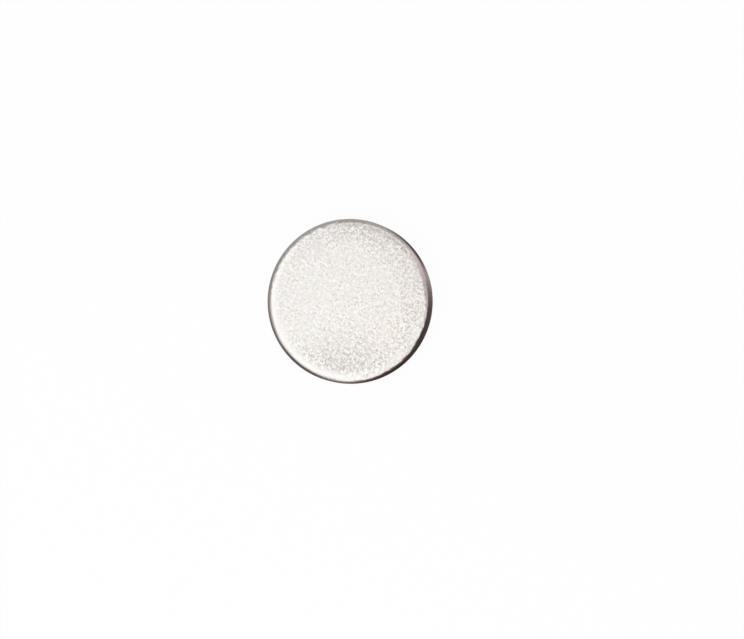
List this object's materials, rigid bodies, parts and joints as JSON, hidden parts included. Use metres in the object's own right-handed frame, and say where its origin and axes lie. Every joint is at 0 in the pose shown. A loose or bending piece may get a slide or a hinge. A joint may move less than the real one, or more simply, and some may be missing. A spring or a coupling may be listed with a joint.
{
  "type": "disc magnet",
  "caption": "Flat round disc magnet, plated all over in pale nickel, with fine grained faces and rounded rims.",
  "frame": {"origin": "centre of the lower flat face", "axes": "+Z along the disc's axis, out through the upper flat face; X and Y are any two square directions across the disc"},
  "size_m": [0.01, 0.01, 0.002],
  "materials": {
    "nickel_plate": "satin nickel plating with a fine even grain on the faces and a smoother rim"
  },
  "bodies": {
    "root": {"magnet_disc": "nickel_plate"}
  },
  "joints": []
}
